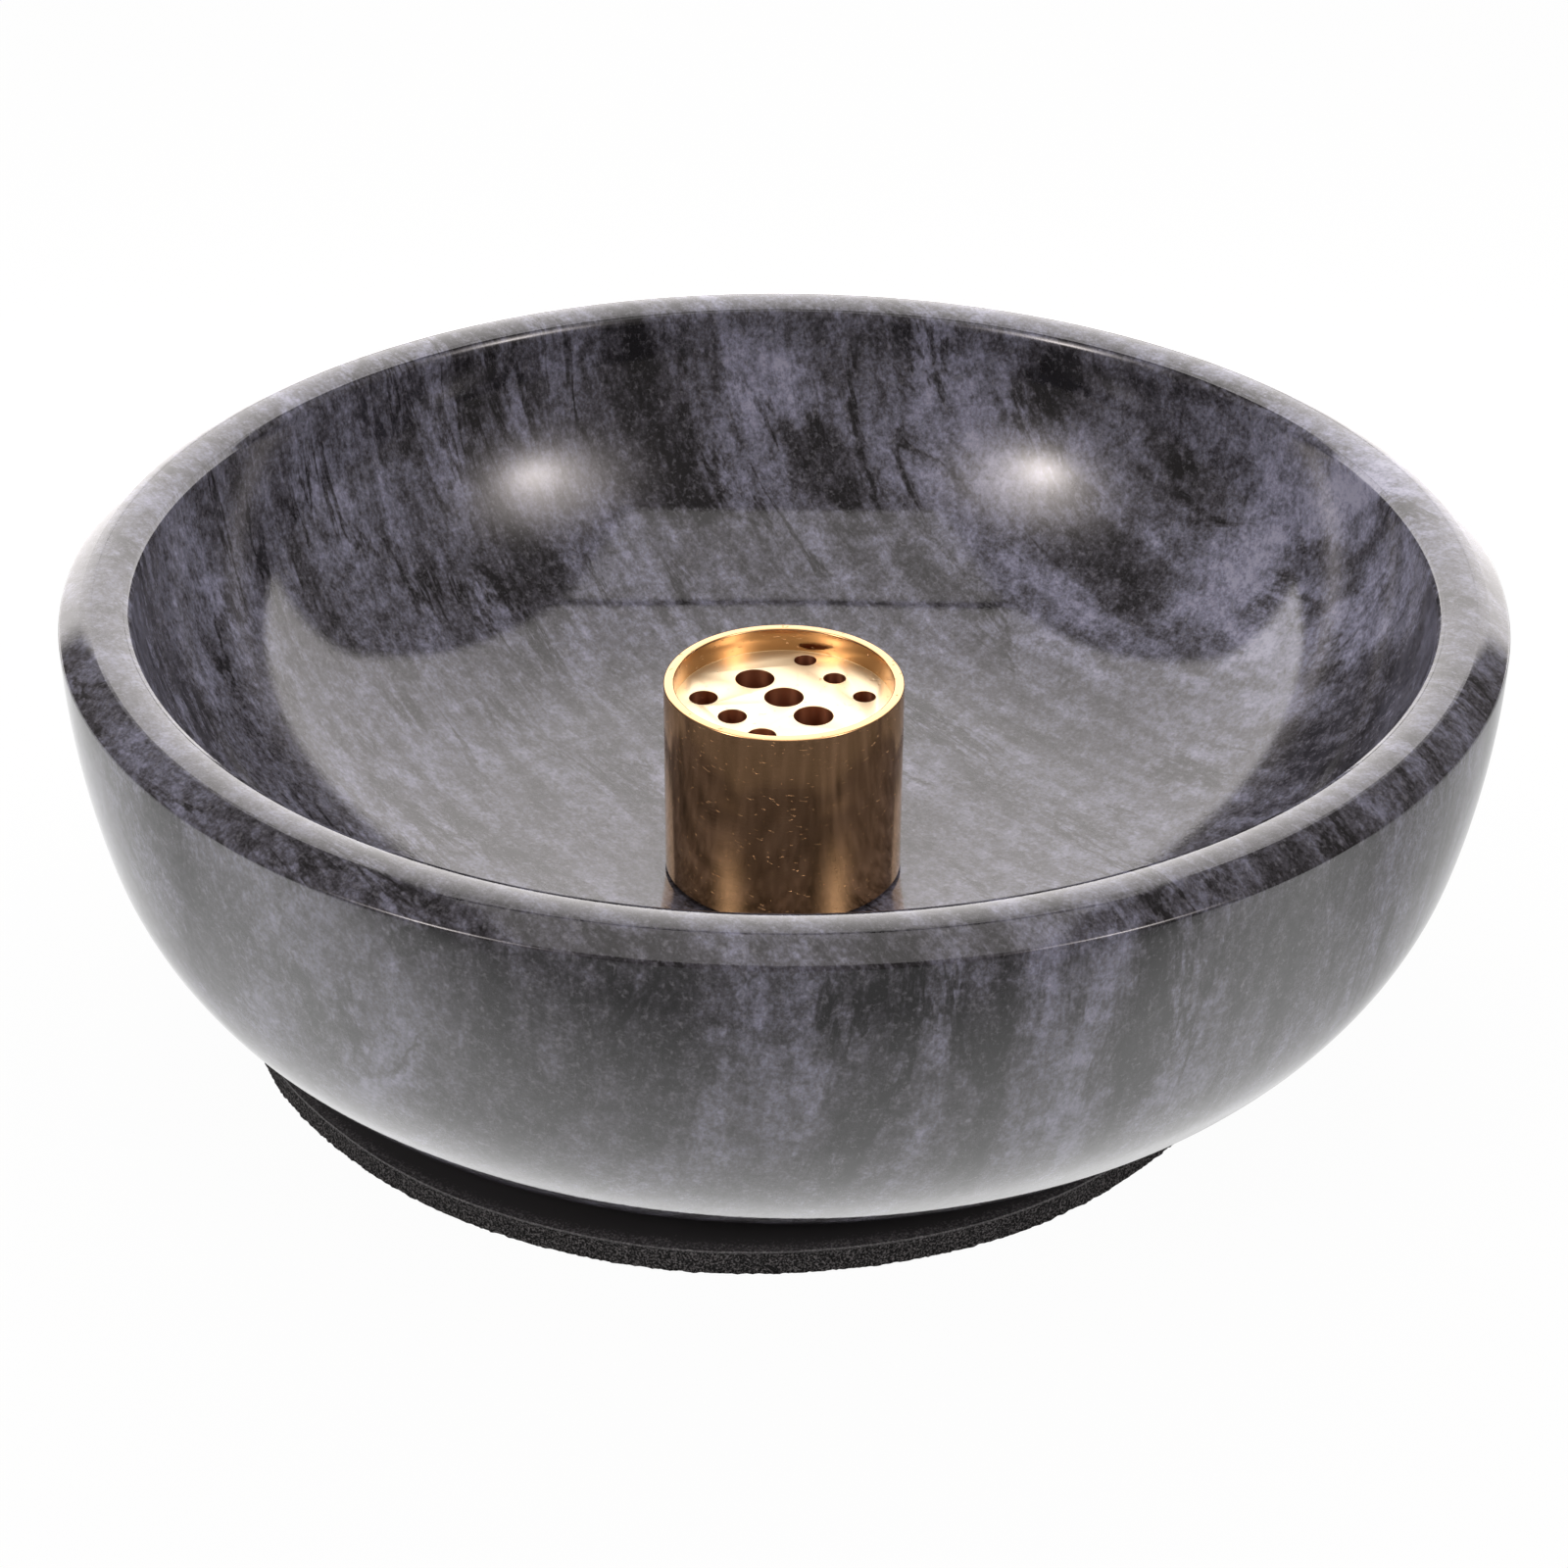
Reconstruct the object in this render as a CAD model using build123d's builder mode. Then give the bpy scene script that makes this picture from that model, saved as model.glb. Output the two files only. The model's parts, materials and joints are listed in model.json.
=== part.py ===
"""Incense stick holder: a turned stone bowl, a drilled brass stick holder that stands
loose on its floor, and a foam pad bonded under its foot.

Millimetres, +Z up, with the origin on the table under the bowl's axis.
"""
import os

from build123d import *

# Foam pad and its adhesive film: die-cut together and stuck on a little off centre
pad_margin = 5.1  # how far the pad's edge stands out past the bowl's foot
pad_thickness = 2.1
film_thickness = 0.2
pad_shift_x = -2.3
pad_shift_y = -1.8

# Stone bowl, turned outside and inside
bowl_diameter = 116.6
foot_inset = 20.3  # from the bowl's widest line in to the edge of its foot
rim_width = 5.8  # between the rim's two edges
rim_height = 35.0  # foot to the rim's inner edge
rim_fall = 0.9  # the outer edge is this much lower than the inner one
rim_crown = 0.95  # rise of the rounded rim above a straight line between its edges
rim_inner_round = 0.7
rim_outer_round = 0.7
floor_thickness = 6.6  # under the holder
seat_margin = 0.3  # how far the flat seat stands out past the holder
floor_diameter = 54.4  # out to where the floor meets the wall
floor_sweep_radius = 180.0  # the floor round the seat is a little hollow, turned to this radius
wall_taper = 1.96  # how far the outer wall draws in before it turns under
wall_turn_share = 0.526  # height of that turn, as a share of the outer wall's height

# Brass stick holder, one piece of turned bar with a recessed top
holder_diameter = 20.0
holder_height = 17.7
holder_foot_chamfer = 0.4
lip_width = 1.0
lip_round = 0.15
recess_depth = 2.1

# Stick holes: one row for each stick size, drilled from the recess right through
small_hole_diameter = 1.9
large_hole_diameter = 3.3
medium_hole_diameter = 2.4
holes_per_row = 3
hole_pitch_share = 0.444  # along a row, of the recess's radius
row_pitch_share = 0.6  # between rows, of the recess's radius
pattern_shift_share = 0.11  # towards the back of the recess, of its radius
pattern_turn = -52.0  # degrees, the rows' direction from X

# Heights above the table
foot_z = pad_thickness + film_thickness
floor_z = foot_z + floor_thickness
rim_inner_z = foot_z + rim_height
rim_outer_z = rim_inner_z - rim_fall
turn_z = foot_z + wall_turn_share * (rim_outer_z - foot_z)
holder_top_z = floor_z + holder_height
recess_z = holder_top_z - recess_depth

# Radii and places worked out from the sizes above
bowl_radius = bowl_diameter / 2
mouth_radius = bowl_radius - rim_width
foot_radius = bowl_radius - foot_inset
seat_radius = holder_diameter / 2 + seat_margin
floor_radius = floor_diameter / 2
sweep_over_seat = (floor_sweep_radius**2 - seat_radius**2) ** 0.5
sweep_over_floor = (floor_sweep_radius**2 - floor_radius**2) ** 0.5
floor_rise = sweep_over_seat - sweep_over_floor
pad_radius = foot_radius + pad_margin
recess_radius = holder_diameter / 2 - lip_width
hole_pitch = hole_pitch_share * recess_radius
row_pitch = row_pitch_share * recess_radius
pattern_shift_y = pattern_shift_share * recess_radius

# The bowl is one profile turned about its axis: a flat seat, a slightly hollow floor, one
# round sweep up to the mouth, a crowned rim, and an outer wall that bends in to the foot
# in two tangent arcs
with BuildPart() as stone_bowl:
    with BuildSketch(Plane.XZ) as bowl_profile:
        with BuildLine():
            seat = Line((0, floor_z), (seat_radius, floor_z))
            floor_edge = (floor_radius, floor_z + floor_rise)
            floor = TangentArc(seat @ 1, floor_edge, tangent=(sweep_over_seat, seat_radius))
            inner_wall = TangentArc(floor_edge, (mouth_radius, rim_inner_z), tangent=floor % 1)
            rim = SagittaArc(inner_wall @ 1, (bowl_radius, rim_outer_z), rim_crown)
            wall_turn = (bowl_radius - wall_taper, turn_z)
            outer_wall = TangentArc(rim @ 1, wall_turn, tangent=(0, -1))
            underside = TangentArc(wall_turn, (foot_radius, foot_z), tangent=outer_wall % 1)
            foot = Line(underside @ 1, (0, foot_z))
            Line(foot @ 1, seat @ 0)
        make_face()
        fillet(bowl_profile.vertices().sort_by(Axis.X)[-1], radius=rim_outer_round)
        mouth_corner = bowl_profile.vertices().sort_by_distance((mouth_radius, rim_inner_z))[0]
        fillet(mouth_corner, radius=rim_inner_round)
    revolve(axis=Axis.Z)
stone_bowl.part.label = "stone_bowl"

# The holder stands on the bowl's floor: a bar with a recess turned into its top
with BuildPart() as stick_holder:
    with BuildSketch(Plane.XY.offset(floor_z)):
        Circle(holder_diameter / 2)
    extrude(amount=holder_height)
    chamfer(stick_holder.faces().sort_by(Axis.Z)[0].edges(), length=holder_foot_chamfer)
    with BuildSketch(Plane.XY.offset(holder_top_z)):
        Circle(recess_radius)
    extrude(amount=-recess_depth, mode=Mode.SUBTRACT)
    fillet(stick_holder.faces().sort_by(Axis.Z)[-1].edges(), radius=lip_round)
    hole_plane = Plane((0, pattern_shift_y, recess_z)).rotated((0, 0, pattern_turn))
    with Locations(hole_plane):
        with Locations((0, row_pitch)):
            with GridLocations(hole_pitch, row_pitch, holes_per_row, 1):
                Hole(small_hole_diameter / 2)
        with GridLocations(hole_pitch, row_pitch, holes_per_row, 1):
            Hole(large_hole_diameter / 2)
        with Locations((0, -row_pitch)):
            with GridLocations(hole_pitch, row_pitch, holes_per_row, 1):
                Hole(medium_hole_diameter / 2)
stick_holder.part.label = "stick_holder"

# The pad stands on the table, and its film bonds it to the foot
with BuildPart() as foam_pad:
    with BuildSketch(Plane.XY):
        with Locations((pad_shift_x, pad_shift_y)):
            Circle(pad_radius)
    extrude(amount=pad_thickness)
foam_pad.part.label = "foam_pad"

with BuildPart() as pad_adhesive:
    with BuildSketch(Plane.XY.offset(pad_thickness)):
        with Locations((pad_shift_x, pad_shift_y)):
            Circle(pad_radius)
    extrude(amount=film_thickness)
pad_adhesive.part.label = "pad_adhesive"

# One file for each piece
os.makedirs("parts", exist_ok=True)
export_step(stone_bowl.part, "parts/stone_bowl.step")
export_step(stick_holder.part, "parts/stick_holder.step")
export_step(foam_pad.part, "parts/foam_pad.step")
export_step(pad_adhesive.part, "parts/pad_adhesive.step")
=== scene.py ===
"""Looks for the incense stick holder: a turned and polished marble bowl, a drilled brass stick
holder that stands on its floor, and a die-cut foam pad stuck under its foot.

Metres, +Z up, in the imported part's frame. The camera looks along +Y.
"""
import json
import math

import bmesh
import bpy
from mathutils import Euler, Matrix, Vector


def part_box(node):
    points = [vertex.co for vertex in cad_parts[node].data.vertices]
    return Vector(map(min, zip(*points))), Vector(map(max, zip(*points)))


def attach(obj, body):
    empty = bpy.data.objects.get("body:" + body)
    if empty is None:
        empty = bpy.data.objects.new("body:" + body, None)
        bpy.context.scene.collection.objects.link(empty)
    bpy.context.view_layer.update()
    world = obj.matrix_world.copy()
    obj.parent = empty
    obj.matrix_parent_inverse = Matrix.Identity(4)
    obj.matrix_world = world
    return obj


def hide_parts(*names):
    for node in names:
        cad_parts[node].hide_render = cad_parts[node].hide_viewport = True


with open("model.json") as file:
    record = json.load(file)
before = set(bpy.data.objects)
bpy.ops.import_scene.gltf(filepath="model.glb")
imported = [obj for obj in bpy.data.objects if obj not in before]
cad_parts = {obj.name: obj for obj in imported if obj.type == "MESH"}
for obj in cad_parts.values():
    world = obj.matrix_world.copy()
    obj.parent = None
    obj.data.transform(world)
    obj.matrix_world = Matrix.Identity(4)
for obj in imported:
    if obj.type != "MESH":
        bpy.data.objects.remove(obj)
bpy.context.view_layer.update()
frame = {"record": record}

MM = 0.001
NEAR = 0.01 * MM  # two points closer than this are the same point
UPWARD = 0.9  # a face whose normal has a Z over this looks up
SHARP = 1.0  # radians: an edge whose faces turn by more than this is a corner

# What the frame gives
bowl_low, bowl_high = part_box("stone_bowl")
holder_low, holder_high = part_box("stick_holder")
pad_low, pad_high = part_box("foam_pad")
film_low, film_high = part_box("pad_adhesive")
stick_holes = [mount for mount in frame["record"]["mounts"] if mount["kind"] == "bore"]

# Bowl, turned from the solid: its profile's sizes
BOWL_RADIUS = bowl_high.x
FOOT_Z = bowl_low.z
FLOOR_Z = holder_low.z
FOOT_INSET = 20.3 * MM
SEAT_MARGIN = 0.3 * MM  # how far the flat seat stands out past the holder
SEAT_RADIUS = holder_high.x + SEAT_MARGIN
FLOOR_RADIUS = 27.2 * MM
FLOOR_SWEEP = 180 * MM  # the floor round the seat is hollow, turned to this radius
RIM_HEIGHT = 35.0 * MM
RIM_WIDTH = 5.8 * MM
RIM_FALL = 0.9 * MM
RIM_RISE = math.radians(27.3)  # how steeply the crown leaves the mouth
RIM_BEVEL_WIDTH = 2.2 * MM
RIM_BEVEL_FALL = 1.32 * MM
RIM_BEVEL_SLOPE = math.radians(26)  # where the bevel begins
MOUTH_ROUND = 1.2 * MM
BEVEL_ROUND = 5.0 * MM
EDGE_ROUND = 0.4 * MM
WALL_TAPER = 1.96 * MM
WALL_TURN_SHARE = 0.526
# Steps along each arc of the profile, across a rounded corner, and round the axis
FLOOR_STEPS = 12
WALL_STEPS = 32
CROWN_STEPS = 12
BEVEL_STEPS = 6
OUTER_STEPS = 12
UNDER_STEPS = 24
CORNER_STEPS = 6
BOWL_STEPS = 240

# Stick holder, turned from bar
HOLDER_RADIUS = holder_high.x
HOLDER_HEIGHT = holder_high.z - holder_low.z
LIP_WIDTH = 0.85 * MM
LIP_ROUND = 0.15 * MM
RECESS_DEPTH = 2.1 * MM
RECESS_Z = holder_high.z - RECESS_DEPTH
FOOT_CHAMFER = 0.4 * MM
HOLE_BREAK = 0.06 * MM  # broken edge at each hole's mouth
FACE_SKIN = 0.05 * MM  # a point this close to a face belongs to it
HOLDER_STEPS = 192
DRILL_STEPS = 64
LIP_STEPS = 3
BREAK_STEPS = 2

# Foam pad and its film, die-cut together: the cut wanders a little off a true circle
PAD_RADIUS = (pad_high.x - pad_low.x) / 2
PAD_CENTRE = (pad_high.xy + pad_low.xy) / 2
PAD_STEPS = 1200
PAD_ROWS = 12
FOAM_CELL = 0.55 * MM
FOAM_PIT = 0.28 * MM
FOAM_CRUMB = 0.17 * MM  # grain of the cut cells, and of the crumbs that the cut leaves
CUT_WANDER = 0.35 * MM
CUT_REACH = 16.0 * MM
CUT_HOLD = 1.0 * MM  # how much of the edge a nudge takes hold of
# Where the cut wanders, in degrees from X, and by what share: outwards, or inwards below zero
CUT_PLACES = {20: -1, 65: 0.6, 118: -0.8, 160: 0.7, 203: 0.9, 238: 0.4, 264: 0.8, 290: 0.6, 322: -0.9}

# The bed that the stone was laid down in stands upright: its normal, as an angle from X
BED_TURN = math.radians(39.7)
RAG = 9  # how far a lens's edge wanders, mm
# The bed's larger lenses: centre, then half sizes across the bed, along it and up, in mm, and how
# much paler they are, or darker below zero
BED_LENSES = (
    (-12, 47.5, 28, 3.5, 9, 13, -0.28),
    (-24.5, 36.5, 18.5, 3.2, 7, 7, -0.28),
    (-29.5, 42.5, 31, 2.5, 8, 8, -0.2),
    (3.6, 47.8, 24, 2.5, 6, 5, -0.25),
    (30.5, 33, 20, 3, 7, 5, -0.25),
    (25.7, 45, 33.5, 3, 7, 4, -0.2),
    (48.8, 15.4, 30, 1.6, 9, 9, -0.25),
    (48, -1, 24, 5, 12, 9, -0.2),
    (-18.5, -54.7, 26, 4.5, 12, 16, -0.2),
    (-7.2, -57.6, 30, 1.6, 9, 12, -0.2),
    (7.5, -57.6, 30, 2.6, 8, 13, -0.22),
    (14.5, -56, 29.6, 1.2, 8, 12, -0.22),
    (25.5, -51.6, 26, 2, 8, 12, -0.25),
    (-2, 51, 30.5, 3.6, 4.5, 4.5, 0.3),
    (18, 45.6, 26, 7, 14, 10, 0.18),
    (46, 17, 28, 9, 15, 14, 0.34),
    (37, 26, 21, 8, 12, 8, 0.08),
    (-37, 35, 30, 9, 11, 9, 0.12),
    (37, -44.5, 31, 9, 12, 8, -0.15),
    (4, -57, 22, 14, 20, 16, -0.06),
    (-14.8, 40.5, 18.3, 3.5, 6, 5, 0.12),
    (23.5, 33, 16, 5, 10, 4, 0.12),
    (20.4, -54, 28, 4, 10, 14, 0.1),
    (29, -49.5, 25, 2, 10, 10, 0.12),
)
NOISE_MEAN = 0.5  # what a noise node gives on average


def begin(name, add_primitive, **sizes):
    """Add a primitive at its size and place, keep that place in its mesh, and open it for editing."""
    bpy.ops.object.select_all(action="DESELECT")
    add_primitive(**sizes)
    bpy.ops.object.transform_apply(location=True, rotation=True, scale=True)
    piece = bpy.context.active_object
    piece.name = name
    piece.data.name = name
    bpy.ops.object.mode_set(mode="EDIT")
    return piece


def pick(kind, passes):
    """Select only the vertices, edges or faces of the open piece that pass a test."""
    bpy.ops.mesh.select_mode(type=kind)
    bpy.ops.mesh.select_all(action="DESELECT")
    mesh = bpy.context.active_object.data
    shape = bmesh.from_edit_mesh(mesh)
    for element in {"VERT": shape.verts, "EDGE": shape.edges, "FACE": shape.faces}[kind]:
        if passes(element):
            element.select_set(True)
    bmesh.update_edit_mesh(mesh)


def close(smooth_degrees):
    """Leave edit mode and shade the piece smooth, with edges sharper than an angle left crisp."""
    bpy.ops.object.mode_set(mode="OBJECT")
    bpy.ops.object.shade_smooth_by_angle(angle=math.radians(smooth_degrees))


def dress(piece, material, body, node):
    """Give a finished piece its material, the body it rides on and the node it stands for."""
    piece.data.materials.clear()
    piece.data.materials.append(material)
    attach(piece, body)
    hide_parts(node)


# Bowl

def draw_line(start, end):
    """Carry the profile straight on, from its last point to the end, given as (radius, height)."""
    step = end - start
    bpy.ops.mesh.extrude_vertices_move(TRANSFORM_OT_translate={"value": (step.x, 0, step.y)})


def draw_arc(start, heading, end, steps):
    """Carry the profile on in one arc that leaves in a heading. Gives the heading at its end."""
    chord = end - start
    half_turn = math.atan2(heading.cross(chord), heading.dot(chord))
    radius = chord.length / (2 * math.sin(half_turn))
    centre = start + radius * Vector((-heading.y, heading.x))
    bpy.ops.mesh.spin(steps=steps, angle=2 * half_turn, center=(centre.x, 0, centre.y), axis=(0, 1, 0))
    return Matrix.Rotation(2 * half_turn, 2) @ heading


def round_corner(corner, heading_in, heading_out, radius):
    """Round the ring that a profile's corner has been turned into."""
    pick("EDGE", lambda edge: all(
        (Vector((v.co.xy.length, v.co.z)) - corner).length < NEAR for v in edge.verts))
    offset = radius * math.tan(heading_in.angle(heading_out) / 2)
    bpy.ops.mesh.bevel(offset=offset, segments=CORNER_STEPS, profile=0.5, affect="EDGES")


def turn_bowl():
    """One profile turned about Z: seat, hollow floor, wall, crowned and bevelled rim, outer wall, foot."""
    seat_centre = Vector((0, FLOOR_Z))
    seat_edge = Vector((SEAT_RADIUS, FLOOR_Z))
    over_seat = math.sqrt(FLOOR_SWEEP ** 2 - SEAT_RADIUS ** 2)
    over_floor = math.sqrt(FLOOR_SWEEP ** 2 - FLOOR_RADIUS ** 2)
    off_seat = Vector((over_seat, SEAT_RADIUS)).normalized()
    floor_edge = Vector((FLOOR_RADIUS, FLOOR_Z + over_seat - over_floor))
    mouth = Vector((BOWL_RADIUS - RIM_WIDTH, FOOT_Z + RIM_HEIGHT))
    rim_edge = Vector((BOWL_RADIUS, FOOT_Z + RIM_HEIGHT - RIM_FALL))
    wall_turn = Vector((BOWL_RADIUS - WALL_TAPER, FOOT_Z + WALL_TURN_SHARE * (rim_edge.y - FOOT_Z)))
    foot_edge = Vector((BOWL_RADIUS - FOOT_INSET, FOOT_Z))
    foot_centre = Vector((0, FOOT_Z))
    bevel_top = rim_edge + Vector((-RIM_BEVEL_WIDTH, RIM_BEVEL_FALL))
    over_crown = Vector((math.cos(RIM_RISE), math.sin(RIM_RISE)))
    down_bevel = Vector((math.cos(RIM_BEVEL_SLOPE), -math.sin(RIM_BEVEL_SLOPE)))
    downward = Vector((0, -1))

    piece = begin("marble_bowl", bpy.ops.mesh.primitive_plane_add, size=MM, location=(0, 0, FLOOR_Z))
    bpy.ops.mesh.merge(type="CENTER")
    draw_line(seat_centre, seat_edge)
    up_floor = draw_arc(seat_edge, off_seat, floor_edge, FLOOR_STEPS)
    up_wall = draw_arc(floor_edge, up_floor, mouth, WALL_STEPS)
    off_crown = draw_arc(mouth, over_crown, bevel_top, CROWN_STEPS)
    off_bevel = draw_arc(bevel_top, down_bevel, rim_edge, BEVEL_STEPS)
    down_wall = draw_arc(rim_edge, downward, wall_turn, OUTER_STEPS)
    draw_arc(wall_turn, down_wall, foot_edge, UNDER_STEPS)
    draw_line(foot_edge, foot_centre)
    bpy.ops.mesh.select_all(action="SELECT")
    bpy.ops.mesh.spin(steps=BOWL_STEPS, angle=2 * math.pi, center=(0, 0, 0), axis=(0, 0, 1))
    bpy.ops.mesh.select_all(action="SELECT")
    bpy.ops.mesh.remove_doubles(threshold=NEAR / 10)
    bpy.ops.mesh.normals_make_consistent(inside=False)
    round_corner(mouth, up_wall, over_crown, MOUTH_ROUND)
    round_corner(bevel_top, off_crown, down_bevel, BEVEL_ROUND)
    round_corner(rim_edge, off_bevel, downward, EDGE_ROUND)
    close(smooth_degrees=30)
    return piece


# Stick holder

def hole_cutter():
    """All the stick holes as one tool: a drill for each, long enough to pass right through."""
    drills = []
    for hole in stick_holes:
        drill = begin("drill", bpy.ops.mesh.primitive_cylinder_add, vertices=DRILL_STEPS,
                      radius=hole["dims"]["r_mm"] * MM, depth=2 * HOLDER_HEIGHT, location=hole["pos_m"])
        bpy.ops.object.mode_set(mode="OBJECT")
        drills.append(drill)
    for drill in drills:
        drill.select_set(True)
    bpy.ops.object.join()
    return bpy.context.active_object


def at_hole_mouth(edge):
    """True for an edge on the recess's floor that goes round one of the stick holes."""
    for hole in stick_holes:
        centre = Vector(hole["pos_m"]).xy
        radius = hole["dims"]["r_mm"] * MM
        if all(abs(v.co.z - RECESS_Z) < NEAR and abs((v.co.xy - centre).length - radius) < NEAR
               for v in edge.verts):
            return True
    return False


def turn_stick_holder():
    """A bar faced off, recessed to leave a lip, chamfered under, and drilled for the sticks."""
    cutter = hole_cutter()
    piece = begin("brass_stick_holder", bpy.ops.mesh.primitive_cylinder_add, vertices=HOLDER_STEPS,
                  radius=HOLDER_RADIUS, depth=HOLDER_HEIGHT,
                  location=(0, 0, holder_low.z + HOLDER_HEIGHT / 2))
    pick("FACE", lambda face: face.normal.z > UPWARD)
    bpy.ops.mesh.inset(thickness=LIP_WIDTH)
    bpy.ops.mesh.extrude_region_move(TRANSFORM_OT_translate={"value": (0, 0, -RECESS_DEPTH)})
    pick("EDGE", lambda edge: len(edge.link_faces) == 2 and edge.calc_face_angle() > SHARP
         and all(abs(v.co.z - holder_high.z) < NEAR for v in edge.verts))
    bpy.ops.mesh.bevel(offset=LIP_ROUND, segments=LIP_STEPS, affect="EDGES")
    pick("EDGE", lambda edge: all(abs(v.co.z - holder_low.z) < NEAR for v in edge.verts))
    bpy.ops.mesh.bevel(offset=FOOT_CHAMFER, segments=1, affect="EDGES")
    bpy.ops.object.mode_set(mode="OBJECT")
    drilling = piece.modifiers.new("drilling", "BOOLEAN")
    drilling.operation = "DIFFERENCE"
    drilling.solver = "EXACT"
    drilling.object = cutter
    bpy.ops.object.modifier_apply(modifier=drilling.name)
    bpy.data.objects.remove(cutter)
    bpy.ops.object.mode_set(mode="EDIT")
    pick("EDGE", at_hole_mouth)
    bpy.ops.mesh.bevel(offset=HOLE_BREAK, segments=BREAK_STEPS, affect="EDGES")
    close(smooth_degrees=30)
    return piece


# Foam pad and film

def die_cut_disc(name, low, high, rows):
    """A disc cut from sheet: its outline is nudged in and out at a few places, then given its thickness."""
    piece = begin(name, bpy.ops.mesh.primitive_circle_add, vertices=PAD_STEPS, radius=PAD_RADIUS,
                  fill_type="NGON", location=(*PAD_CENTRE, low))
    for degrees, amount in CUT_PLACES.items():
        way = Vector((math.cos(math.radians(degrees)), math.sin(math.radians(degrees))))
        pick("VERT", lambda vertex: (vertex.co.xy - PAD_CENTRE - PAD_RADIUS * way).length < CUT_HOLD)
        push = way * amount * CUT_WANDER
        bpy.ops.transform.translate(
            value=(push.x, push.y, 0), use_proportional_edit=True,
            proportional_edit_falloff="SMOOTH", proportional_size=CUT_REACH)
    pick("FACE", lambda face: True)
    for _ in range(rows):
        bpy.ops.mesh.extrude_region_move(TRANSFORM_OT_translate={"value": (0, 0, (high - low) / rows)})
    bpy.ops.mesh.select_all(action="SELECT")
    bpy.ops.mesh.normals_make_consistent(inside=False)
    close(smooth_degrees=40)
    return piece


def cut_foam_pad():
    """The pad's disc, with the open cells that the cut leaves all round its edge."""
    piece = die_cut_disc("foam_pad_disc", pad_low.z, pad_high.z, PAD_ROWS)
    cells = bpy.data.textures.new("foam_cells", "CLOUDS")
    cells.noise_basis = "VORONOI_F1"
    cells.noise_scale = FOAM_CELL
    cells.noise_depth = 2
    pitting = piece.modifiers.new("pitting", "DISPLACE")
    pitting.texture = cells
    pitting.texture_coords = "LOCAL"
    pitting.mid_level = 1
    pitting.strength = FOAM_PIT
    bpy.ops.object.modifier_apply(modifier=pitting.name)
    return piece


# Materials

def srgb(code):
    """A hex colour as it is seen, turned to the linear values that a shader takes."""
    channels = [int(code[i:i + 2], 16) / 255 for i in (1, 3, 5)]
    return tuple(c / 12.92 if c <= 0.04045 else ((c + 0.055) / 1.055) ** 2.4 for c in channels) + (1,)


def add(tree, kind, inputs=None, **settings):
    """Add a node with its settings. An input is a value, or another node's output to link."""
    node = tree.nodes.new("ShaderNode" + kind)
    for name, value in settings.items():
        setattr(node, name, value)
    for name, value in (inputs or {}).items():
        if isinstance(value, bpy.types.NodeSocket):
            tree.links.new(value, node.inputs[name])
        else:
            node.inputs[name].default_value = value
    return node


def new_material(name):
    """A material with its node tree and its main shader."""
    material = bpy.data.materials.new(name)
    material.use_nodes = True
    return material, material.node_tree, material.node_tree.nodes["Principled BSDF"]


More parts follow.
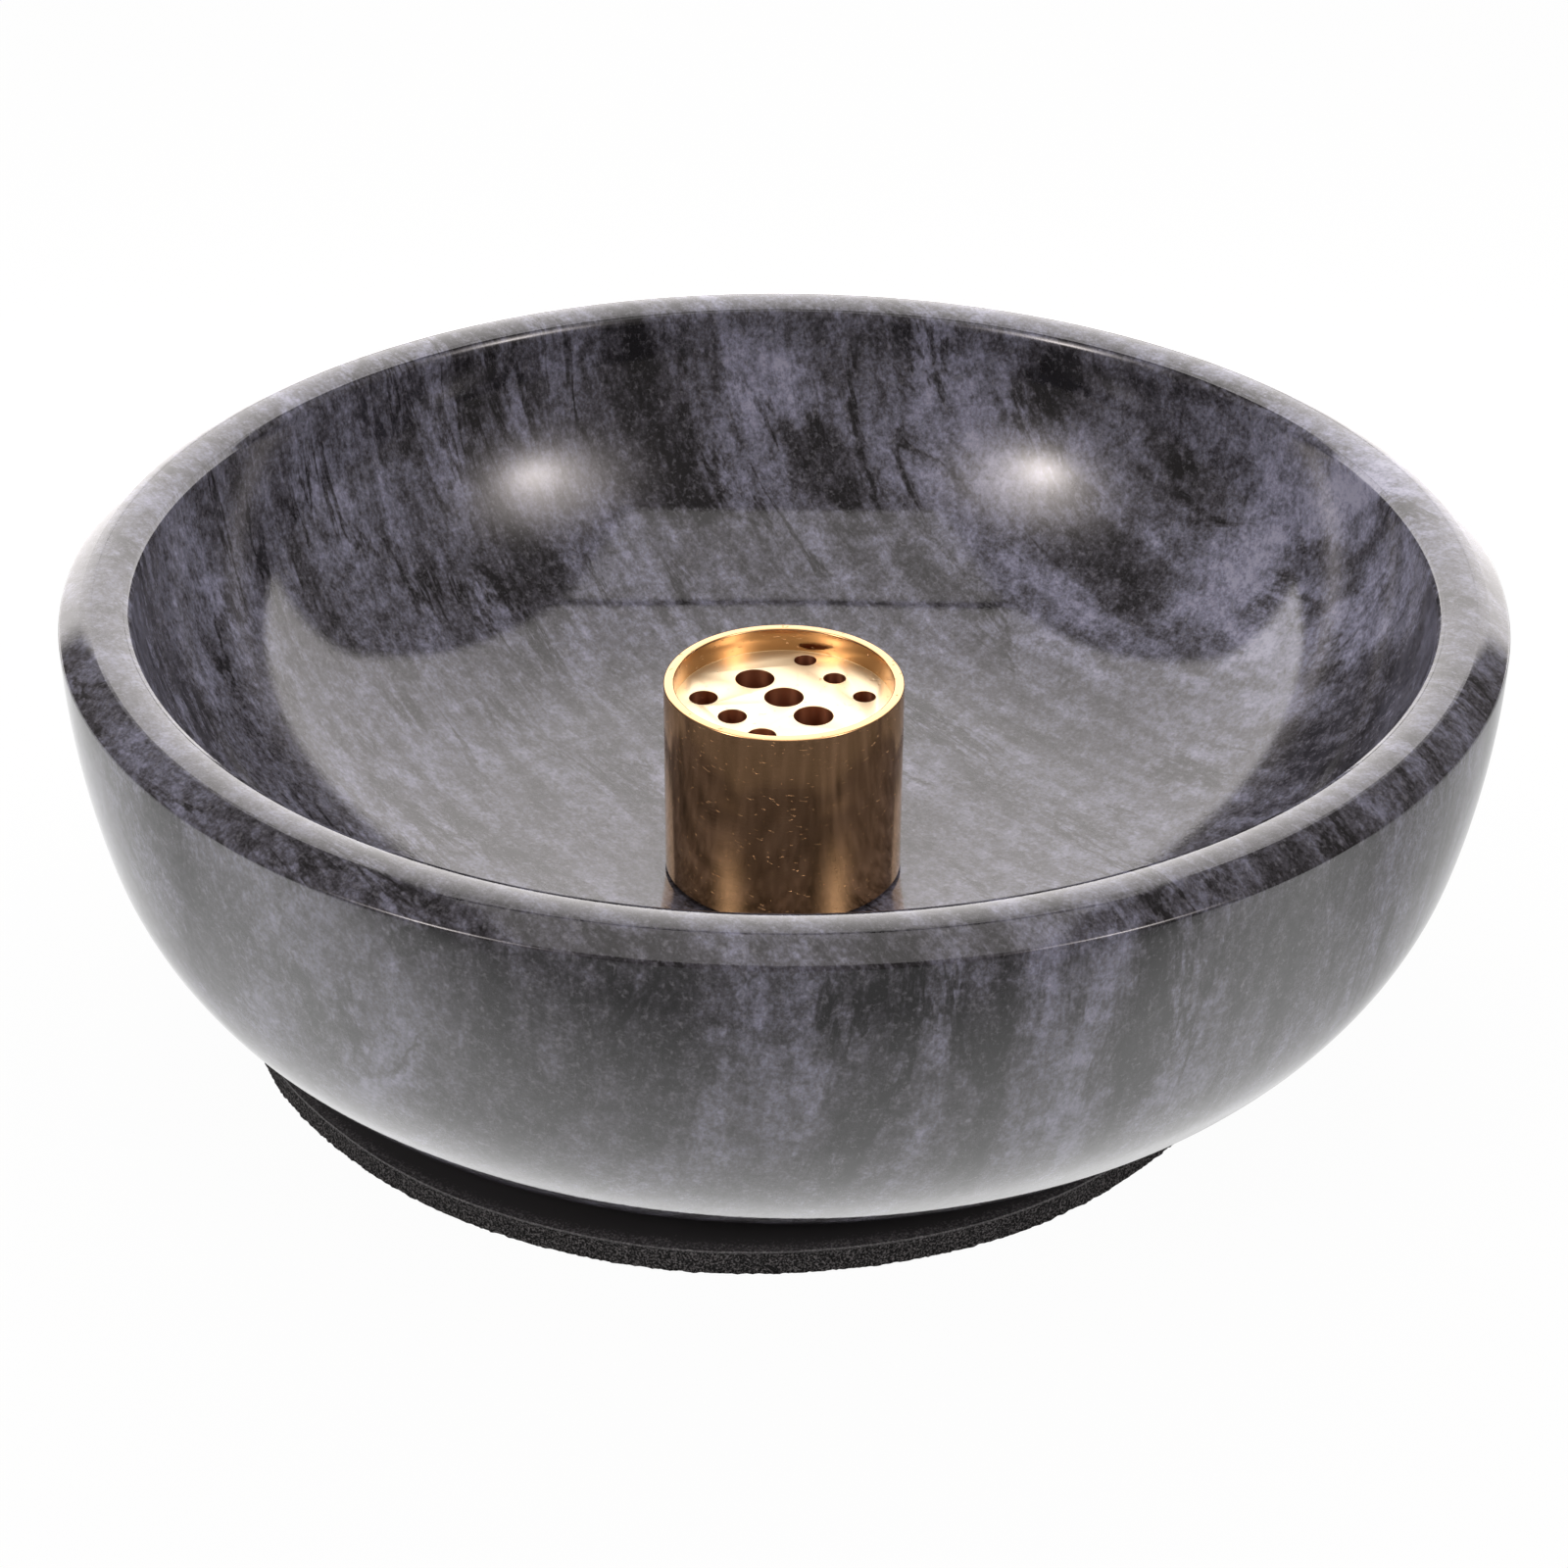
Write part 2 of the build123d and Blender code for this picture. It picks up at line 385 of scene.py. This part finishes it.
def polished_marble():
    """Charcoal marble, turned and polished: upright beds of dark and pale grey, a sugary grain of
    pale crystals, a few dark seams, and a clear gloss that mirrors the white around it."""
    material, tree, shader = new_material("polished_charcoal_marble")
    place = add(tree, "TexCoord").outputs["Object"]

    def layer(size, detail, **more):
        """Noise whose lumps have a size in mm across the bed, along it and up."""
        lay = add(tree, "Mapping", {"Vector": place, "Rotation": (0, 0, BED_TURN),
                                    "Scale": [length * MM for length in size]}, vector_type="TEXTURE")
        return add(tree, "TexNoise", {"Vector": lay.outputs[0], "Scale": 1, "Detail": detail, **more})

    # The tone, from black to pale, which each layer of the stone's figure sways about its mean
    clouds = layer((8, 11, 13), 7, Roughness=0.66)
    streaks = layer((2, 11, 18), 4, Roughness=0.6, Distortion=0.3)
    mottle = layer((1.2, 1.5, 1.5), 5, Roughness=0.75)
    grain = layer((0.3, 0.42, 0.42), 3, Roughness=0.7)
    tone = 0.455
    for noise, sway in ((clouds, 0.65), (streaks, 1.0), (mottle, 1.3), (grain, 0.8)):
        about_mean = add(tree, "Math", {0: noise.outputs[0], 1: NOISE_MEAN}, operation="SUBTRACT")
        swayed = add(tree, "Math", {0: about_mean.outputs[0], 1: sway, 2: tone}, operation="MULTIPLY_ADD")
        tone = swayed.outputs[0]

    # Thin dark seams along the beds, which come and go
    bed = layer((5, 20, 28), 6, Roughness=0.62, Distortion=0.4)
    from_seam = add(tree, "Math", {0: bed.outputs[0], 1: NOISE_MEAN}, operation="SUBTRACT")
    off_seam = add(tree, "Math", {0: from_seam.outputs[0]}, operation="ABSOLUTE")
    seam = add(tree, "MapRange", {"Value": off_seam.outputs[0], "From Max": 0.035,
                                  "To Min": -0.4, "To Max": 0})
    gaps = layer((7, 12, 12), 2)
    opened = add(tree, "MapRange", {"Value": gaps.outputs[0], "From Min": 0.45, "From Max": 0.6})
    seamed = add(tree, "Math", {0: seam.outputs[0], 1: opened.outputs[0], 2: tone}, operation="MULTIPLY_ADD")
    tone = seamed.outputs[0]

    # Lenses of darker and paler stone, with ragged edges
    wander = layer((4, 7, 7), 6, Roughness=0.7)
    rag = add(tree, "VectorMath", {0: wander.outputs[1], 1: [NOISE_MEAN] * 3}, operation="SUBTRACT")
    ragged = add(tree, "VectorMath", {0: rag.outputs[0], 1: [RAG * MM] * 3, 2: place},
                 operation="MULTIPLY_ADD")
    for x, y, z, across, along, up, sway in BED_LENSES:
        lens = add(tree, "Mapping", {"Vector": ragged.outputs[0], "Rotation": (0, 0, BED_TURN),
                                     "Location": (x * MM, y * MM, z * MM),
                                     "Scale": (across * MM, along * MM, up * MM)}, vector_type="TEXTURE")
        away = add(tree, "VectorMath", {0: lens.outputs[0]}, operation="LENGTH")
        share = add(tree, "MapRange", {"Value": away.outputs["Value"], "From Min": 1.4, "From Max": 0.6,
                                       "To Max": sway}, interpolation_type="SMOOTHSTEP")
        tone = add(tree, "Math", {0: tone, 1: share.outputs[0]}, operation="ADD").outputs[0]

    colour = add(tree, "ValToRGB", {0: tone})
    ramp = colour.color_ramp.elements
    ramp[0].color = srgb("#1A191B")
    ramp[1].color = srgb("#9C9DB0")
    for position, code in ((0.2, "#2F2E32"), (0.4, "#4A4950"), (0.6, "#676875"), (0.8, "#828396")):
        ramp.new(position).color = srgb(code)

    # Pale crystals of about 0.5 mm, and finer ones in and between them
    speck = layer((0.45, 0.55, 0.55), 3, Roughness=0.65)
    specks = add(tree, "MapRange", {"Value": speck.outputs[0], "From Min": 0.55, "From Max": 0.8,
                                    "To Max": 0.35})
    stone = add(tree, "Mix", {0: specks.outputs[0], 6: colour.outputs[0], 7: srgb("#A3A3AC")},
                data_type="RGBA")
    tree.links.new(stone.outputs[2], shader.inputs["Base Color"])

    # The polish is even, but crystals of different hardness leave a very fine relief
    relief = add(tree, "Bump", {"Height": grain.outputs[0], "Strength": 0.04, "Distance": 0.1 * MM})
    tree.links.new(relief.outputs[0], shader.inputs["Normal"])
    shader.inputs["Roughness"].default_value = 0.05
    shader.inputs["IOR"].default_value = 1.58
    return material


def turned_brass():
    """Brass bar, turned and drilled: a satin gold-brown, with fine tool lines round it that draw out the
    highlights, a painted highlight that makes its recess's floor paler, and painted shade that makes the
    drilled holes a darker, duller brown."""
    tool_line = 0.12 * MM
    grit_size = 0.15 * MM
    nick_size = (0.7 * MM, 0.7 * MM, 0.16 * MM)
    material, tree, shader = new_material("satin_turned_brass")
    place = add(tree, "TexCoord").outputs["Object"]
    flat = add(tree, "VectorMath", {0: place, 1: (1, 1, 0)}, operation="MULTIPLY")
    radius = add(tree, "VectorMath", {0: flat.outputs[0]}, operation="LENGTH").outputs["Value"]
    height = add(tree, "SeparateXYZ", {0: place}).outputs["Z"]

    # Tool lines, up the side and outwards on the faces
    turned = add(tree, "CombineXYZ", {"X": radius, "Z": height})
    line_place = add(tree, "Mapping", {"Vector": turned.outputs[0], "Scale": [tool_line] * 3},
                     vector_type="TEXTURE")
    lines = add(tree, "TexNoise", {"Vector": line_place.outputs[0], "Scale": 1, "Detail": 3,
                                   "Roughness": 0.6})
    # Satin grit
    grit_place = add(tree, "Mapping", {"Vector": place, "Scale": [grit_size] * 3}, vector_type="TEXTURE")
    grit = add(tree, "TexNoise", {"Vector": grit_place.outputs[0], "Scale": 1, "Detail": 2})
    surface = add(tree, "Math", {0: grit.outputs[0], 1: 0.6, 2: lines.outputs[0]}, operation="MULTIPLY_ADD")
    relief = add(tree, "Bump", {"Height": surface.outputs[0], "Strength": 0.1, "Distance": 0.05 * MM})
    # A few nicks, about 1 mm long, from handling
    nick_place = add(tree, "Mapping", {"Vector": place, "Scale": nick_size, "Rotation": (0.25, 0.2, 0)},
                     vector_type="TEXTURE")
    nick = add(tree, "TexNoise", {"Vector": nick_place.outputs[0], "Scale": 1, "Detail": 1})
    nicks = add(tree, "MapRange", {"Value": nick.outputs[0], "From Min": 0.715, "From Max": 0.76,
                                   "To Max": -1})
    nicked = add(tree, "Bump", {"Height": nicks.outputs[0], "Strength": 0.8, "Distance": 0.06 * MM,
                                "Normal": relief.outputs[0]})
    tree.links.new(nicked.outputs[0], shader.inputs["Normal"])

    # Inside the holes: below the recess's floor and within the bar. They get painted shade, a darker brown,
    # and a duller finish.
    below = add(tree, "Math", {0: height, 1: RECESS_Z - FACE_SKIN}, operation="LESS_THAN")
    within = add(tree, "Math", {0: radius, 1: HOLDER_RADIUS - LIP_WIDTH + FACE_SKIN}, operation="LESS_THAN")
    drilled = add(tree, "Math", {0: below.outputs[0], 1: within.outputs[0]}, operation="MULTIPLY")
    # The recess's floor was faced last: it is duller than the turned side. Its paler colour is a painted
    # highlight where it faces up into the bright paper.
    level = add(tree, "Math", {0: height, 1: RECESS_Z, 2: FACE_SKIN}, operation="COMPARE")
    faced = add(tree, "Math", {0: level.outputs[0], 1: within.outputs[0]}, operation="MULTIPLY")
    # Painted highlight: the recess's floor gets a paler brass than the side
    brass_with_painted_highlight = add(tree, "Mix", {0: faced.outputs[0], 6: srgb("#DDB07F"), 7: srgb("#F3DFBC")},
                data_type="RGBA")
    # Painted shade: the brown inside the bores is far darker than the brass
    colour = add(tree, "Mix", {0: drilled.outputs[0], 6: brass_with_painted_highlight.outputs[2], 7: srgb("#936046")},
                 data_type="RGBA")
    tree.links.new(colour.outputs[2], shader.inputs["Base Color"])
    dullness = add(tree, "Math", {0: faced.outputs[0], 1: 0.3, 2: 0.12}, operation="MULTIPLY_ADD")
    dullness = add(tree, "Math", {0: drilled.outputs[0], 1: 0.38, 2: dullness.outputs[0]},
                   operation="MULTIPLY_ADD")
    tree.links.new(dullness.outputs[0], shader.inputs["Roughness"])
    shader.inputs["Metallic"].default_value = 1
    shader.inputs["Anisotropic"].default_value = 0.4
    shader.inputs["Anisotropic Rotation"].default_value = 0.25
    tangent = add(tree, "Tangent", direction_type="RADIAL", axis="Z")
    tree.links.new(tangent.outputs[0], shader.inputs["Tangent"])
    return material


def cut_foam():
    """Black cell rubber, die-cut: dull and grainy where the blade has opened its cells."""
    material, tree, shader = new_material("die_cut_black_foam")
    place = add(tree, "TexCoord").outputs["Object"]
    cell_place = add(tree, "Mapping", {"Vector": place, "Scale": [FOAM_CRUMB] * 3}, vector_type="TEXTURE")
    cells = add(tree, "TexNoise", {"Vector": cell_place.outputs[0], "Scale": 1, "Detail": 3,
                                   "Roughness": 0.6})
    walls = add(tree, "MapRange", {"Value": cells.outputs[0], "From Min": 0.46, "From Max": 0.7})
    colour = add(tree, "Mix", {0: walls.outputs[0], 6: srgb("#060606"), 7: srgb("#7C7B7C")},
                 data_type="RGBA")
    tree.links.new(colour.outputs[2], shader.inputs["Base Color"])
    relief = add(tree, "Bump", {"Height": cells.outputs[0], "Strength": 0.6, "Distance": 0.15 * MM})
    tree.links.new(relief.outputs[0], shader.inputs["Normal"])
    shader.inputs["Roughness"].default_value = 0.85
    shader.inputs["Specular IOR Level"].default_value = 0.15
    return material


def adhesive_film():
    """Black film with its tacky side up: smooth and dark, with crumbs of cut foam stuck along its edge."""
    ripple_size = 4 * MM
    crumbs_begin = PAD_RADIUS - 2.2 * MM
    crumbs_thickest = PAD_RADIUS - 0.4 * MM
    material, tree, shader = new_material("tacky_black_film")
    place = add(tree, "TexCoord").outputs["Object"]
    ripple_place = add(tree, "Mapping", {"Vector": place, "Scale": [ripple_size] * 3}, vector_type="TEXTURE")
    ripple = add(tree, "TexNoise", {"Vector": ripple_place.outputs[0], "Scale": 1, "Detail": 2})
    relief = add(tree, "Bump", {"Height": ripple.outputs[0], "Strength": 0.1, "Distance": 0.2 * MM})
    tree.links.new(relief.outputs[0], shader.inputs["Normal"])
    # Crumbs, thick at the edge and gone about 2 mm in from it
    crumb_place = add(tree, "Mapping", {"Vector": place, "Scale": [FOAM_CRUMB] * 3}, vector_type="TEXTURE")
    crumb = add(tree, "TexNoise", {"Vector": crumb_place.outputs[0], "Scale": 1, "Detail": 3,
                                   "Roughness": 0.6})
    from_centre = add(tree, "VectorMath", {0: place, 1: (*PAD_CENTRE, film_high.z)}, operation="SUBTRACT")
    away = add(tree, "VectorMath", {0: from_centre.outputs[0]}, operation="LENGTH")
    margin = add(tree, "MapRange", {"Value": away.outputs["Value"], "From Min": crumbs_begin,
                                    "From Max": crumbs_thickest, "To Min": -0.35, "To Max": 0})
    thick = add(tree, "Math", {0: crumb.outputs[0], 1: margin.outputs[0]}, operation="ADD")
    crumbs = add(tree, "MapRange", {"Value": thick.outputs[0], "From Min": 0.46, "From Max": 0.7})
    colour = add(tree, "Mix", {0: crumbs.outputs[0], 6: srgb("#3A393A"), 7: srgb("#7C7B7C")},
                 data_type="RGBA")
    tree.links.new(colour.outputs[2], shader.inputs["Base Color"])
    shader.inputs["Roughness"].default_value = 0.6
    shader.inputs["Specular IOR Level"].default_value = 0.3
    return material


# Stage, lights and camera

FLOOR_SIZE = 6.0
FLOOR_DROP = 0.02 * MM  # keeps the floor's face apart from the pad's
FLOOR_WHITE = 0.97  # the share of plain white that the eye sees: the rest is lit, and takes the shadow


def lay_floor():
    """A white table top: plain white to the eye, with a soft shadow on it. What the stone and the brass
    mirror of it is painted light and shade: a painted pool of light just in front of the bowl, and painted
    shadow beside it and under it."""
    bpy.ops.object.select_all(action="DESELECT")
    bpy.ops.mesh.primitive_plane_add(size=FLOOR_SIZE, location=(0, 0, -FLOOR_DROP))
    floor = bpy.context.active_object
    floor.name = "floor"
    material, tree, shader = new_material("white_table")
    shader.inputs["Base Color"].default_value = srgb("#F2F2F2")
    shader.inputs["Roughness"].default_value = 0.9
    path = add(tree, "LightPath")
    place = add(tree, "TexCoord").outputs["Object"]
    spot = add(tree, "SeparateXYZ", {0: place}).outputs
    away = add(tree, "VectorMath", {0: place}, operation="LENGTH").outputs["Value"]
    # Painted light and shade in the mirrored level, in mm: brighter from far in front to near, then painted
    # shadow beside, under and on the right
    level = 0
    for measure, start, end, level_before, level_after in (
            (spot["Y"], -95, -62, 0.5, 1.8),
            (spot["Y"], -45, -20, 0, -0.8),
            (away, 48, 43, 0, -0.6),
            (spot["X"], 30, 80, 0, -0.25)):
        change = add(tree, "MapRange", {"Value": measure, "From Min": start * MM, "From Max": end * MM,
                                        "To Min": level_before, "To Max": level_after})
        level = add(tree, "Math", {0: level, 1: change.outputs[0]}, operation="ADD").outputs[0]
    level = add(tree, "Math", {0: level, 1: 0.2}, operation="MAXIMUM")
    shown = add(tree, "Mix", {0: path.outputs["Is Camera Ray"], 2: level.outputs[0], 3: 1.0},
                data_type="FLOAT")
    white = add(tree, "Emission", {"Color": (1, 1, 1, 1), "Strength": shown.outputs[0]})
    seen = add(tree, "Math", {0: path.outputs["Is Camera Ray"], 1: FLOOR_WHITE}, operation="MULTIPLY")
    mirrored = add(tree, "Math", {0: path.outputs["Is Glossy Ray"], 1: path.outputs["Is Transmission Ray"]},
                   operation="MAXIMUM")
    share = add(tree, "Math", {0: mirrored.outputs[0], 1: seen.outputs[0]}, operation="MAXIMUM")
    top = add(tree, "MixShader", {0: share.outputs[0], 1: shader.outputs[0], 2: white.outputs[0]})
    sheet = add(tree, "MixShader", {0: add(tree, "NewGeometry").outputs["Backfacing"], 1: top.outputs[0],
                                    2: add(tree, "BsdfTransparent").outputs[0]})
    tree.links.new(sheet.outputs[0], tree.nodes["Material Output"].inputs["Surface"])
    floor.data.materials.append(material)


def hang_backdrop():
    """A strip of white paper, hung close behind the bowl and carried forward over it. It is brightest
    low down, and the polished stone and the brass mirror it."""
    half_width = 125 * MM
    front = -130 * MM
    back = 118 * MM
    top = 300 * MM
    sweep = 90 * MM  # radius of its bend, from its top down to its back
    skirt = 130 * MM  # below this height it widens
    front_flare = 1.2  # how much wider it is at its front edge
    foot_flare = 1.75  # and at its foot
    seam_y = 52 * MM  # a dark seam crosses it here, and it is brighter behind the seam
    seam_half_width = 5 * MM
    seam_step = 1 * MM
    backdrop = begin("backdrop", bpy.ops.mesh.primitive_plane_add, size=2 * half_width,
                     location=(0, back - sweep - half_width, top))
    pick("VERT", lambda vertex: vertex.co.y < front)
    bpy.ops.transform.translate(value=(0, front - (back - sweep - 2 * half_width), 0))
    bpy.ops.transform.resize(value=(front_flare, 1, 1), center_override=(0, 0, 0))
    pick("EDGE", lambda edge: all(vertex.co.y > front + NEAR for vertex in edge.verts))
    bpy.ops.mesh.spin(steps=12, angle=math.pi / 2, center=(0, back - sweep, top - sweep), axis=(1, 0, 0))
    bpy.ops.mesh.extrude_region_move(TRANSFORM_OT_translate={"value": (0, 0, skirt - (top - sweep))})
    bpy.ops.mesh.extrude_region_move(TRANSFORM_OT_translate={"value": (0, 0, -skirt)})
    bpy.ops.transform.resize(value=(foot_flare, 1, 1), center_override=(0, 0, 0))
    bpy.ops.object.mode_set(mode="OBJECT")
    material, tree, _ = new_material("lit_white_paper")
    place = add(tree, "SeparateXYZ", {0: add(tree, "TexCoord").outputs["Object"]}).outputs
    level = add(tree, "MapRange", {"Value": place["Y"], "From Min": seam_y - seam_step,
                                   "From Max": seam_y + seam_step, "To Min": 1.35, "To Max": 1.75})
    rise = add(tree, "MapRange", {"Value": place["Z"], "From Min": 290 * MM, "From Max": 100 * MM,
                                  "To Max": 1.05})
    level = add(tree, "Math", {0: level.outputs[0], 1: rise.outputs[0]}, operation="ADD")
    seam = add(tree, "Math", {0: place["Y"], 1: seam_y, 2: seam_half_width}, operation="COMPARE")
    level = add(tree, "Math", {0: seam.outputs[0], 1: -1.6, 2: level.outputs[0]}, operation="MULTIPLY_ADD")
    # Its light falls off towards its two side edges
    low = add(tree, "MapRange", {"Value": place["Z"], "From Max": skirt, "To Min": foot_flare * half_width,
                                 "To Max": half_width})
    forward = add(tree, "MapRange", {"Value": place["Y"], "From Min": back - sweep, "From Max": front,
                                     "To Min": 1, "To Max": front_flare})
    edge = add(tree, "Math", {0: low.outputs[0], 1: forward.outputs[0]}, operation="MULTIPLY")
    across = add(tree, "Math", {0: place["X"]}, operation="ABSOLUTE")
    share = add(tree, "Math", {0: across.outputs[0], 1: edge.outputs[0]}, operation="DIVIDE")
    fade = add(tree, "MapRange", {"Value": share.outputs[0], "From Min": 0.88, "From Max": 1,
                                  "To Min": 1, "To Max": 0.1})
    level = add(tree, "Math", {0: level.outputs[0], 1: fade.outputs[0]}, operation="MULTIPLY")
    paper = add(tree, "Emission", {"Color": (1, 0.96, 0.95, 1), "Strength": level.outputs[0]})
    tree.links.new(paper.outputs[0], tree.nodes["Material Output"].inputs["Surface"])
    backdrop.data.materials.append(material)
    backdrop.visible_camera = False


def light_room():
    """A dim room with two soft lamps at the front, one each side, and plain white to the eye."""
    room_level = 0.2
    # Each lamp has a small bright core and a wide halo: which way, how tight and how strong
    lamps = (
        ((0.70, -0.495, 0.515), 260, 6),
        ((0.67, -0.475, 0.57), 52, 6),
        ((-0.725, -0.505, 0.47), 260, 8),
        ((-0.69, -0.485, 0.54), 52, 6),
    )
    world = bpy.data.worlds.new("dim_room")
    bpy.context.scene.world = world
    world.use_nodes = True
    tree = world.node_tree
    way = add(tree, "TexCoord").outputs["Generated"]
    level = room_level
    for lamp, tightness, strength in lamps:
        towards = add(tree, "VectorMath", {0: way, 1: lamp}, operation="DOT_PRODUCT")
        ahead = add(tree, "Math", {0: towards.outputs["Value"], 1: 0}, operation="MAXIMUM")
        glow = add(tree, "Math", {0: ahead.outputs[0], 1: tightness}, operation="POWER")
        lit = add(tree, "Math", {0: glow.outputs[0], 1: strength, 2: level}, operation="MULTIPLY_ADD")
        level = lit.outputs[0]
    seen = add(tree, "LightPath").outputs["Is Camera Ray"]
    shown = add(tree, "Mix", {0: seen, 2: level, 3: 1.0}, data_type="FLOAT")
    tint = add(tree, "Mix", {0: seen, 6: (1, 0.92, 0.9, 1), 7: (1, 1, 1, 1)}, data_type="RGBA")
    tree.links.new(shown.outputs[0], tree.nodes["Background"].inputs["Strength"])
    tree.links.new(tint.outputs[2], tree.nodes["Background"].inputs["Color"])


def aim_camera():
    """A long lens above the front edge, turned a third of a degree on its own axis."""
    target = Vector((0.05, 0, 16.66)) * MM
    distance = 300 * MM
    elevation = math.radians(30.49)
    roll = math.radians(0.36)
    camera = bpy.data.objects.new("camera", bpy.data.cameras.new("camera"))
    bpy.context.scene.collection.objects.link(camera)
    camera.location = target + distance * Vector((0, -math.cos(elevation), math.sin(elevation)))
    tilt = Euler((math.pi / 2 - elevation, 0, 0)).to_matrix()
    camera.rotation_euler = (tilt @ Matrix.Rotation(roll, 3, "Z")).to_euler()
    camera.data.lens = 81.72
    camera.data.sensor_width = 36
    camera.data.clip_start = 0.01
    bpy.context.scene.camera = camera


dress(turn_bowl(), polished_marble(), "bowl", "stone_bowl")
dress(turn_stick_holder(), turned_brass(), "holder", "stick_holder")
foam_pad_disc = cut_foam_pad()
dress(foam_pad_disc, cut_foam(), "bowl", "foam_pad")
film_disc = die_cut_disc("film_disc", film_low.z, film_high.z, rows=1)
dress(film_disc, adhesive_film(), "bowl", "pad_adhesive")
lay_floor()
hang_backdrop()
light_room()
aim_camera()
bpy.context.scene.view_settings.view_transform = "Standard"
